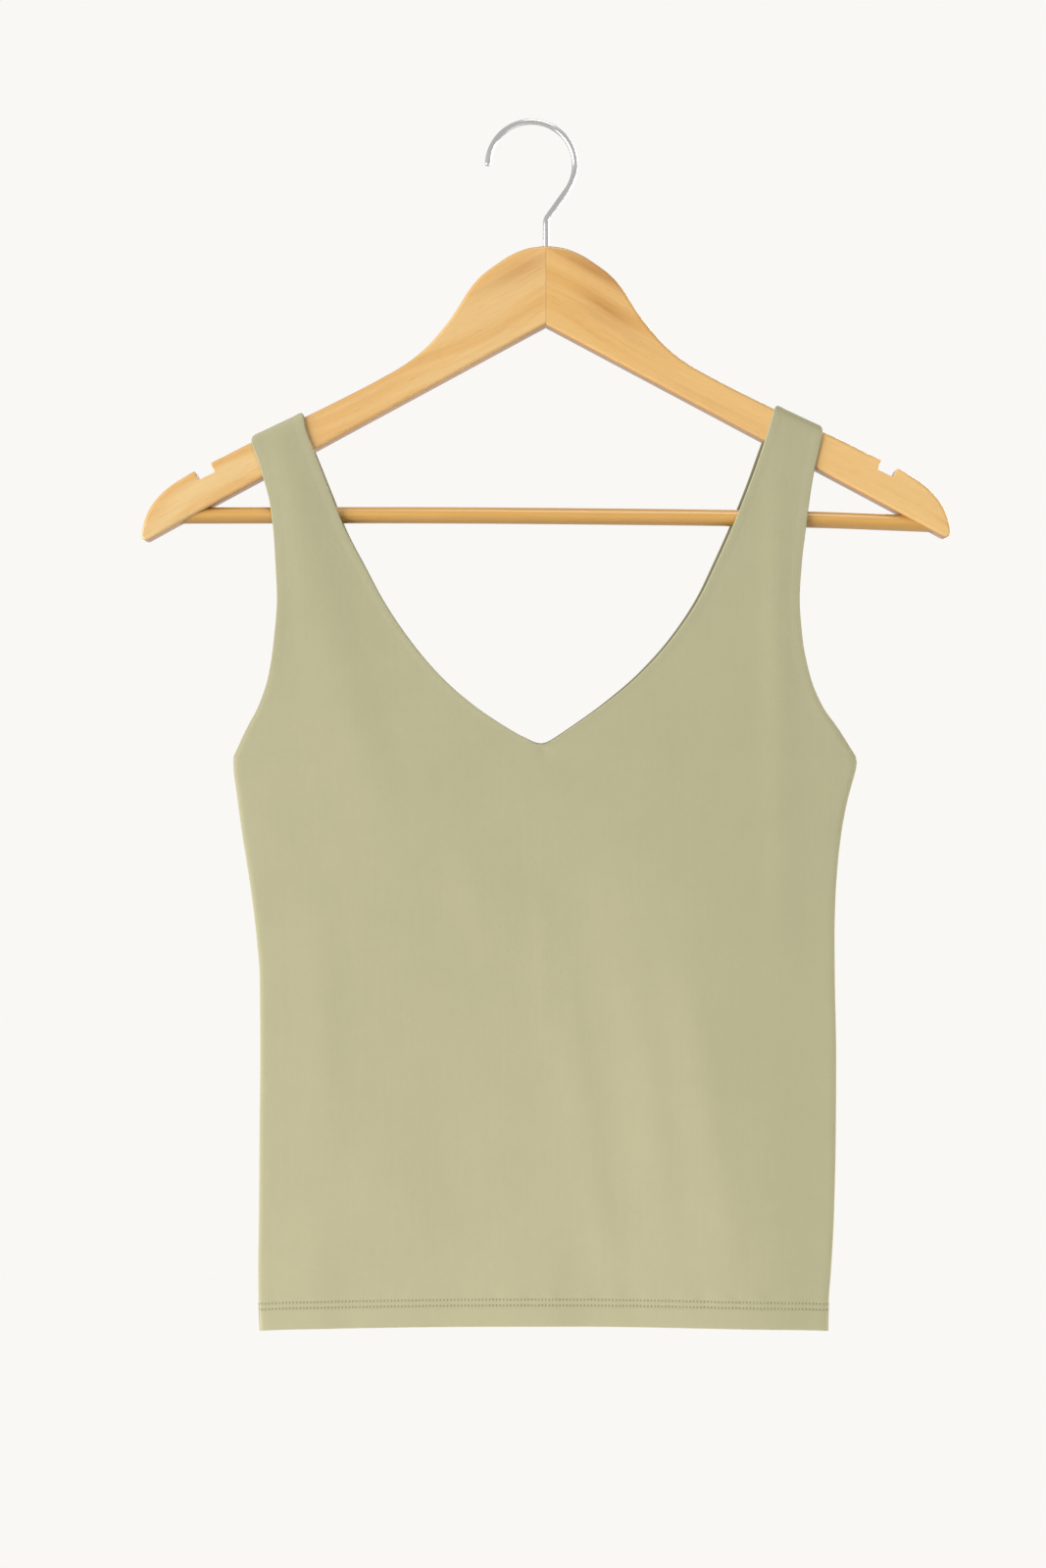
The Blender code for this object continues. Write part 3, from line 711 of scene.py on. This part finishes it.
def add_panel(name, facing, folds, material):
    """One panel as a closed shell: its outside and inside share the points along every edge."""
    left_centre = panel_shell(-1, facing, folds).centre
    right_centre = panel_shell(1, facing, folds).centre
    halves = {
        -1: panel_shell(-1, facing, folds, right_centre),
        1: panel_shell(1, facing, folds, left_centre),
    }
    points, flat, painted_shade_inside, faces = [], [], [], []
    number = {}

    def index_of(side, surface, row, column):
        half = halves[side]
        rows, columns = half.outside.shape[:2]
        innermost = column == columns - 1
        centre = innermost and half.joined[row]
        rim = row in (0, rows - 1) or column == 0 or (innermost and not half.joined[row])
        rim = rim or (centre and not half.joined[row - 1])
        key = (0 if centre else side, "rim" if rim else surface, row, column)
        if key not in number:
            number[key] = len(points)
            points.append(getattr(half, surface)[row, column])
            flat.append(half.cloth[row, column])
            painted_shade_inside.append(0.0 if rim or surface == "outside" else 1.0)
        return number[key]

    for side, half in halves.items():
        rows, columns = half.outside.shape[:2]
        for surface in ("outside", "inside"):
            flip = (side * facing > 0) == (surface == "outside")
            for row in range(rows - 1):
                for column in range(columns - 1):
                    around = (0, 0), (0, 1), (1, 1), (1, 0)
                    corners = [index_of(side, surface, row + r, column + c) for r, c in around]
                    faces.append(corners[::-1] if flip else corners)
    piece = add_mesh(name, points, faces, material)
    map_cloth(piece.data, np.array(flat))
    # The inside attribute marks where the painted shade of the inside surfaces goes.
    piece.data.attributes.new("inside", "FLOAT", "POINT").data.foreach_set("value", painted_shade_inside)
    piece.data.shade_smooth()
    return piece


def new_object(name, data):
    """Puts a new object with this data in the scene."""
    made = bpy.data.objects.new(name, data)
    bpy.context.scene.collection.objects.link(made)
    return made


def add_mesh(name, points, faces, material):
    """A new piece from its points and faces."""
    data = bpy.data.meshes.new(name)
    data.from_pydata([tuple(point) for point in points], [], faces)
    data.materials.append(material)
    return new_object(name, data)


def map_cloth(data, flat):
    """Gives the mesh a map named cloth, in metres on the flat cloth."""
    layer = data.uv_layers.new(name="cloth")
    corner = np.empty(len(data.loops), np.int32)
    data.loops.foreach_get("vertex_index", corner)
    layer.data.foreach_set("uv", flat[corner].astype(np.float32).ravel())


def row_of_places(facing, folds, height, across):
    """Places on the outside along a level row of the body."""
    level = np.full_like(across, 2.0 - height / BODY)
    found = np.zeros((len(across), 3))
    for side in (-1, 1):
        outer, outer_drop, inner, inner_drop = section_ends(side, level)
        share = (outer - side * across) / (outer - inner)
        drop = outer_drop + (inner_drop - outer_drop) * np.sin(share * math.pi / 2)
        drop = drop - TWIST_LIFT * twist(across, drop)
        depth = cloth_depth(folds, across, drop, outer - side * across)
        spots = places(across, facing * depth - twist(across, drop), drop)
        own = side * across >= side * POINT_ACROSS
        found[own] = spots[own]
    return found


def add_stitches(name, facing, folds, material):
    """The twin needle's two rows: one stitch is modelled and laid along both."""
    deselect_all()
    bpy.ops.mesh.primitive_uv_sphere_add(segments=8, ring_count=6, radius=1.0)
    stitch = bpy.context.object
    shape = np.array([vertex.co for vertex in stitch.data.vertices])
    patches = [list(face.vertices) for face in stitch.data.polygons]
    bpy.data.objects.remove(stitch)
    points, faces = [], []
    low, high = FIRST_STITCH - LEFT_REACHES[-1], RIGHT_REACHES[-1] - FIRST_STITCH
    count = int((high - low) / STITCH)
    for row in HEM_ROWS:
        middles = (np.arange(count) + 0.5) * STITCH + STITCH * math.ceil(low / STITCH)
        before = row_of_places(facing, folds, row, middles - 0.5)
        after = row_of_places(facing, folds, row, middles + 0.5)
        higher = row_of_places(facing, folds, row + 0.5, middles)
        run = after - before
        run /= np.linalg.norm(run, axis=1, keepdims=True)
        up = higher - (before + after) / 2
        out = np.cross(run, up)
        out /= np.linalg.norm(out, axis=1, keepdims=True)
        out *= np.sign(out[:, 1:2] * facing)
        up = np.cross(out, run)
        centre = (before + after) / 2 - out * STITCH_SUNK * MM
        for spot, ahead, upward, outward in zip(centre, run, up, out):
            start = len(points)
            body = (
                spot
                + np.outer(shape[:, 2], ahead) * (STITCH / 2 - STITCH_END) * MM
                + np.outer(shape[:, 0], upward) * STITCH_RADIUS * 1.15 * MM
                + np.outer(shape[:, 1] + 0.35 * (1 - shape[:, 2] ** 2), outward) * STITCH_RADIUS * MM
            )
            points.extend(body)
            faces.extend([[start + k for k in patch] for patch in patches])
    piece = add_mesh(name, points, faces, material)
    tidy_normals(piece)
    piece.data.shade_smooth()
    return piece


def thread(name, colour):
    """Spun thread, a fine twist on the stitches."""
    finish = Finish(name, Roughness=0.7, Sheen_Weight=0.1)
    where = finish.where()
    x, _, z = finish.parts(where)
    strand = (x * 9000.0 + z * 7000.0).math("SINE")
    fuzz = finish.noise(where, 2500.0, 1.0)
    tone = 1.0 + strand * 0.05 + (fuzz - 0.5) * 0.12
    return finish.made(finish.toned(colour, tone), strand, 0.00002, 0.4)


# Modelling by hand.


def deselect_all():
    bpy.ops.object.select_all(action="DESELECT")


def enter(mode):
    """Changes to edit mode or back to object mode."""
    bpy.ops.object.mode_set(mode=mode)


def edit_all():
    """Enters edit mode with everything selected."""
    enter("EDIT")
    bpy.ops.mesh.select_all(action="SELECT")


def apply_place():
    bpy.ops.object.transform_apply(location=True, rotation=True, scale=True)


def only(piece):
    """Makes the piece the one that is selected and active."""
    deselect_all()
    piece.select_set(True)
    bpy.context.view_layer.objects.active = piece


def tidy_normals(piece):
    """Turns every face of a closed piece outwards."""
    only(piece)
    edit_all()
    bpy.ops.mesh.normals_make_consistent(inside=False)
    enter("OBJECT")


def settle(piece, name, material, angle):
    """Names the piece, gives it its finish and shades it smooth where it turns less than this."""
    only(piece)
    apply_place()
    piece.name = name
    piece.data.name = name
    piece.data.materials.clear()
    piece.data.materials.append(material)
    bpy.ops.object.shade_smooth_by_angle(angle=math.radians(angle))


def select_edges(piece, wanted):
    """In edit mode, selects the edges whose two ends make the test true."""
    enter("OBJECT")
    bpy.context.tool_settings.mesh_select_mode = (False, True, False)
    mesh = piece.data
    for group in (mesh.vertices, mesh.edges, mesh.polygons):
        for part in group:
            part.select = False
    for edge in mesh.edges:
        a, b = (mesh.vertices[k].co for k in edge.vertices)
        edge.select = wanted(a, b)
    enter("EDIT")


def cut_away(piece, cutter):
    """Cuts one closed piece out of another."""
    only(piece)
    bpy.ops.object.modifier_add(type="BOOLEAN")
    cut = piece.modifiers[-1]
    cut.operation = "DIFFERENCE"
    cut.solver = "EXACT"
    cut.object = cutter
    bpy.ops.object.modifier_apply(modifier=cut.name)
    bpy.data.objects.remove(cutter)


def upper_edge():
    """Reaches and drops along the top edge of an arm, at even steps along it."""
    reach, drop = np.array(UPPER_EDGE).T
    run = np.concatenate([[0.0], np.cumsum(np.hypot(np.diff(reach), np.diff(drop)))])
    at = np.linspace(0.0, run[-1], 131)
    return smooth(run, reach, at), smooth(run, drop, at)


EDGE_REACH, EDGE_DROP = upper_edge()


def arm_top(across):
    """Drop of the wood's top edge."""
    return float(np.interp(abs(across), EDGE_REACH, EDGE_DROP)) - TILT * across


def bar_drop(across):
    return float(smooth(BAR_ACROSS, BAR_DROPS, across))


Corner = namedtuple("Corner", "spot easing")


def arm_outline(side):
    """Corners of an arm from the joint along the top, round the notch and the tip, and back below."""
    drops = [drop - TILT * side * reach for reach, drop in zip(EDGE_REACH, EDGE_DROP)]
    top = [Vector(spot) for spot in zip(EDGE_REACH, drops)]
    top[0].x = JOINT
    middle = Vector((NOTCH_REACH, arm_top(side * NOTCH_REACH)))
    beyond = Vector((NOTCH_REACH + 1, arm_top(side * (NOTCH_REACH + 1))))
    run = (beyond - middle).normalized()
    into = Vector((-run.y, run.x))
    half, soft = NOTCH_WIDTH / 2, NOTCH_ROUNDING
    clear = half + soft + NOTCH_CLEAR
    before = [spot for spot in top if (spot - middle).dot(run) < -clear]
    after = [spot for spot in top if (spot - middle).dot(run) > clear]
    turns = np.linspace(0.0, math.pi / 2, NOTCH_STEPS)
    quarter = [(soft * math.sin(turn), soft - soft * math.cos(turn)) for turn in turns]
    notch = [middle + run * (far - half - soft) + into * near for far, near in quarter]
    notch += [
        middle + run * (near - half) + into * (NOTCH_DEPTH + (far - soft)) for far, near in quarter
    ]
    notch += [spot - run * 2 * (spot - middle).dot(run) for spot in reversed(notch)]
    tip = Vector((TIP_REACH, TIP_DROP - TILT * side * TIP_REACH))
    under = Vector((JOINT, UNDER_DROP))
    heel = tip + (under - tip).normalized() * TIP_ROUNDING
    knuckle = after.pop()
    shares = np.linspace(0.0, 1.0, TIP_STEPS)
    turned = [knuckle.lerp(tip, t).lerp(tip.lerp(heel, t), t) for t in shares]
    below = [heel.lerp(under, (k + 1) / UNDER_STEPS) for k in range(UNDER_STEPS)]
    return [
        Corner(spot, arm_easing((spot - middle).length, (spot - tip).length))
        for spot in before + notch + after + turned + below
    ]


def arm_easing(from_notch, from_tip):
    """Radius of the eased edge, which is finer round the notch and at the tip."""
    by_notch = NOTCH_EASE + (EASE - NOTCH_EASE) * ease((from_notch - NOTCH_FROM) / NOTCH_OVER)
    by_tip = TIP_EASE + (EASE - TIP_EASE) * ease((from_tip - TIP_FROM) / TIP_OVER)
    return float(min(by_notch, by_tip))


def corner_move(before, here, after):
    """How a corner moves when both of its edges move in by one."""
    first = (here - before).normalized()
    second = (after - here).normalized()
    bisector = Vector((-first.y - second.y, first.x + second.x)).normalized()
    return bisector / max(0.45, bisector.dot(Vector((-first.y, first.x))))


def arm_rings(side):
    """The arm's outline at each step through the board, as rings of places."""
    corners = arm_outline(side)
    spots = [corner.spot for corner in corners]
    neighbours = zip(spots[-1:] + spots, spots, spots[1:] + spots[:1])
    moves = [corner_move(*three) for three in neighbours]
    slope = math.atan2(TIP_DROP - UNDER_DROP, TIP_REACH)
    moves[0] = Vector((0.0, 1.0))
    moves[-1] = Vector((0.0, -1.0 / math.cos(slope)))
    turns = np.linspace(math.pi / 2, 0.0, EASE_STEPS + 1)
    steps = [(0.0, 1.0, 0.2)] + [(1 - math.sin(t), 1 - math.cos(t), 0.0) for t in turns]
    rings = []
    for facing in (-1, 1):
        half = []
        for deep, narrow, margin in steps:
            ring = []
            for corner, move in zip(corners, moves):
                spot = corner.spot + move * (corner.easing * narrow + margin)
                depth = facing * (BOARD / 2 - corner.easing * deep)
                ring.append(place(side * spot.x, depth, spot.y))
            half.append(ring)
        rings += half if facing < 0 else half[::-1]
    return rings


def add_arm(name, side, material):
    """One arm: a filled outline drawn through the board, its edges eased, then bored."""
    rings = np.array(arm_rings(side))
    flat = rings[EASE_STEPS + 1]
    deselect_all()
    bpy.ops.mesh.primitive_circle_add(vertices=len(flat), radius=0.1, fill_type="NGON")
    arm = bpy.context.object
    for vertex, spot in zip(arm.data.vertices, flat):
        vertex.co = (spot[0], 0.0, spot[2])
    edit_all()
    for _ in rings[1:]:
        bpy.ops.mesh.extrude_region_move(TRANSFORM_OT_translate={"value": (0, MM, 0)})
    enter("OBJECT")
    for vertex in arm.data.vertices:
        ring = round(vertex.co.y / MM)
        away = (flat[:, 0] - vertex.co.x) ** 2 + (flat[:, 2] - vertex.co.z) ** 2
        vertex.co = rings[ring, away.argmin()]
    edit_all()
    bpy.ops.mesh.quads_convert_to_tris(quad_method="BEAUTY", ngon_method="BEAUTY")
    bpy.ops.mesh.normals_make_consistent(inside=False)
    enter("OBJECT")
    last = BAR_ACROSS[0 if side < 0 else -1]
    near = last - side * BAR_SOCKET
    start = place(last + side * BAR_PLAY, 0, bar_drop(last))
    end = place(near, 0, bar_drop(near))
    cut_away(arm, bore(start, end, BAR_RADIUS + BAR_PLAY))
    bottom = place(0, 0, SHANK_DEPTH + BAR_PLAY)
    cut_away(arm, bore(bottom, place(0, 0, -BOARD), WIRE_RADIUS + WIRE_PLAY))
    settle(arm, name, material, WOOD_ANGLE)
    return arm


def cylinder(radius, length, middle, turned):
    """A closed cylinder with its place applied."""
    deselect_all()
    bpy.ops.mesh.primitive_cylinder_add(
        vertices=BAR_SIDES, radius=radius * MM, depth=length, location=middle, rotation=turned
    )
    apply_place()
    return bpy.context.object


def bore(start, end, radius):
    """A cylinder between two places, to cut with."""
    run = end - start
    turned = run.to_track_quat("Z", "Y").to_euler()
    return cylinder(radius, run.length, (start + end) / 2, turned)


def add_bar(name, material):
    """The dowel: a cylinder cut into short lengths, softened at its ends and given its slight bow."""
    first, last = BAR_ACROSS[0], BAR_ACROSS[-1]
    middle = place((first + last) / 2, 0, 0)
    bar = cylinder(BAR_RADIUS, (last - first) * MM, middle, (0, math.pi / 2, 0))
    select_edges(bar, lambda a, b: abs(a.x - b.x) > 0.1)
    bpy.ops.mesh.subdivide(number_cuts=BAR_LENGTHS)
    ends = place(first, 0, 0).x, place(last, 0, 0).x
    select_edges(bar, lambda a, b: any(max(abs(a.x - e), abs(b.x - e)) < 1e-6 for e in ends))
    bpy.ops.mesh.bevel(offset=BAR_BEVEL * MM, segments=3, affect="EDGES")
    enter("OBJECT")
    for spot in bar.data.vertices:
        across = spot.co.x / MM + HOOK_ACROSS
        spot.co.z -= bar_drop(across) * MM
    settle(bar, name, material, ROUND_ANGLE)
    return bar


def add_hook(name, material):
    """The wire: a ring drawn up the shank, spun round the bend, drawn on and spun round the hook."""
    offset = Vector((-HOOK_ACROSS, BEND_RISE - HOOK_RISE))
    lean = math.asin(HOOK_RADIUS / offset.length) - math.atan2(offset.x, -offset.y)
    cut = BEND_RADIUS * math.tan(lean / 2)
    straight = math.sqrt(offset.length_squared - HOOK_RADIUS**2) - cut
    bottom = place(0, 0, SHANK_DEPTH)
    deselect_all()
    bpy.ops.mesh.primitive_circle_add(
        vertices=WIRE_SIDES, radius=WIRE_RADIUS * MM, fill_type="NGON", location=bottom
    )
    wire = bpy.context.object
    apply_place()
    edit_all()

    def draw(across, rise):
        moved = {"value": (across * MM, 0, rise * MM)}
        bpy.ops.mesh.extrude_region_move(TRANSFORM_OT_translate=moved)

    def turn(middle, angle, steps):
        bpy.ops.mesh.spin(steps=steps, angle=angle, center=middle, axis=(0, 1, 0))

    draw(0, SHANK_DEPTH + BEND_RISE - cut)
    turn(place(BEND_RADIUS, 0, cut - BEND_RISE), -lean, BEND_STEPS)
    draw(straight * math.sin(lean), straight * math.cos(lean))
    tip_angle = math.radians(HOOK_TIP_ANGLE)
    middle = place(HOOK_ACROSS, 0, -HOOK_RISE)
    turn(middle, tip_angle + lean, HOOK_STEPS)
    enter("OBJECT")
    tip = middle + Vector((math.cos(tip_angle), 0, math.sin(tip_angle))) * HOOK_RADIUS * MM
    reach = WIRE_RADIUS * MM * 1.05
    for end in (tip, bottom):
        select_edges(wire, lambda a, b, end=end: max((a - end).length, (b - end).length) < reach)
        bpy.ops.mesh.bevel(offset=WIRE_BEVEL * MM, segments=4, affect="EDGES")
    bpy.ops.mesh.select_all(action="SELECT")
    bpy.ops.mesh.remove_doubles(threshold=1e-6)
    bpy.ops.mesh.normals_make_consistent(inside=False)
    enter("OBJECT")
    settle(wire, name, material, ROUND_ANGLE)
    return wire


# The pieces.

SAGE = srgb(193, 188, 150)
# The back's cloth is the same jersey as the front's, painted a shade darker as painted shade.
SAGE_BACK_SHADED = srgb(190, 185, 147)
front_jersey = jersey("front jersey", SAGE)
back_jersey = jersey("back jersey", SAGE_BACK_SHADED)
sage_thread = thread("sage thread", srgb(206, 201, 163))

Patch = namedtuple("Patch", "across drop angle length width depth")
LEFT_STREAKS = [
    Patch(-11, 13, 28, 15, 4.0, 1.3),
    Patch(-30, 24, 28, 20, 3.0, 0.35),
    Patch(-120, 112, 26, 46, 3.0, 0.25),
]
RIGHT_STREAKS = [
    Patch(28, 15, -33, 26, 5.0, 0.95),
    Patch(34, 37, -33, 18, 5.5, 0.7),
    Patch(58, 58, -33, 20, 4.0, 0.3),
    Patch(104, 96, -27, 40, 4.0, 0.25),
]
ARM_SLOPE = math.radians(26.6)
LEFT_COLOURS = srgb(244, 206, 143), srgb(237, 187, 115), srgb(196, 130, 60)
RIGHT_COLOURS = srgb(244, 199, 129), srgb(234, 181, 103), srgb(178, 113, 42)
left_wood = wood("left arm wood", *LEFT_COLOURS, ARM_SLOPE, LEFT_STREAKS)
right_wood = wood("right arm wood", *RIGHT_COLOURS, -ARM_SLOPE, RIGHT_STREAKS)
dowel_wood = bar_wood("bar wood", srgb(237, 187, 104), srgb(221, 163, 76))
chrome = plated_steel("hook steel")

front = add_panel("front_cloth", -1, FRONT_FOLDS, front_jersey)
back = add_panel("back_cloth", 1, BACK_FOLDS, back_jersey)
front_stitches = add_stitches("front_hem_stitching", -1, FRONT_FOLDS, sage_thread)
back_stitches = add_stitches("back_hem_stitching", 1, BACK_FOLDS, sage_thread)
left_arm = add_arm("arm_left", -1, left_wood)
right_arm = add_arm("arm_right", 1, right_wood)
bar = add_bar("dowel", dowel_wood)
hook = add_hook("wire_hook", chrome)

for piece, node, slot in (
    (front, "front_panel", "front_jersey"),
    (back, "back_panel", "back_jersey"),
    (left_arm, "hanger_arm_left", "left_arm_wood"),
    (right_arm, "hanger_arm_right", "right_arm_wood"),
    (bar, "trouser_bar", "bar_wood"),
    (hook, "hook", "hook_steel"),
):
    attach(piece, "root")
    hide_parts(node)
for piece, slot in ((front_stitches, "front_jersey"), (back_stitches, "back_jersey")):
    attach(piece, "root")

# Camera, light and floor.

camera_data = bpy.data.cameras.new("camera")
camera_data.lens = 50.0
camera_data.sensor_width = 36.0
camera_data.clip_start = 0.05
camera_data.clip_end = 50.0
camera = new_object("camera", camera_data)
camera.location = (-0.0046, -1.2016, -0.3638)
camera.rotation_euler = (math.pi / 2, 0.0, 0.0)
bpy.context.scene.camera = camera

Light = namedtuple("Light", "name place size power colour")
LIGHTS = [
    Light("window", (-7.0, -3.9, -1.4), 6.5, 830.0, (0.99, 0.995, 1.0)),
    Light("above", (0.5, -1.6, 3.6), 1.6, 50.0, (1.0, 0.99, 0.97)),
    Light("rim", (2.4, 0.35, -0.4), 0.8, 48.0, (1.0, 0.98, 0.95)),
    Light("back", (1.4, 2.4, 0.6), 1.6, 42.0, (1.0, 1.0, 1.0)),
]
LIT_MIDDLE = Vector((0.0, 0.0, -0.36))
for light in LIGHTS:
    lamp = bpy.data.lights.new(light.name, "AREA")
    lamp.shape = "SQUARE"
    lamp.size = light.size
    lamp.energy = light.power
    lamp.color = light.colour
    stand = new_object(light.name, lamp)
    stand.location = light.place
    stand.rotation_euler = (LIT_MIDDLE - Vector(light.place)).to_track_quat("-Z", "Y").to_euler()

ROOM_LIGHT = 0.28
SEEN_IN_GLOSS = 0.6  # how much of the paper's brightness glossy surfaces mirror
world = bpy.data.worlds.new("studio")
world.use_nodes = True
sky = Tree(world.node_tree)
room = {"Color": srgb(252, 251, 249), "Strength": ROOM_LIGHT}
paper = {"Color": srgb(250, 248, 245)}
looked_at = sky.node("ShaderNodeLightPath", {}, {}, "Is Camera Ray")
mirrored = sky.node("ShaderNodeLightPath", {}, {}, "Is Glossy Ray")
seen = {
    0: looked_at + mirrored * SEEN_IN_GLOSS,
    1: sky.node("ShaderNodeBackground", {}, room),
    2: sky.node("ShaderNodeBackground", {}, paper),
}
either = sky.node("ShaderNodeMixShader", {}, seen)
sky.tree.links.new(either.socket, sky.tree.nodes["World Output"].inputs["Surface"])
bpy.context.scene.world = world
bpy.context.scene.view_settings.view_transform = "Standard"

deselect_all()
bpy.ops.mesh.primitive_circle_add(vertices=96, radius=1.5, fill_type="NGON", location=(0, 0, -1.45))
floor = bpy.context.object
floor.name = "floor"
floor_finish = Finish("floor", Roughness=0.9)
floor_cloud = floor_finish.noise(floor_finish.where(), 3.0)
floor_colour = floor_finish.mix(floor_cloud, srgb(246, 244, 241), srgb(248, 246, 243))
floor_finish.feed("Base Color", floor_colour)
floor.data.materials.append(floor_finish.material)
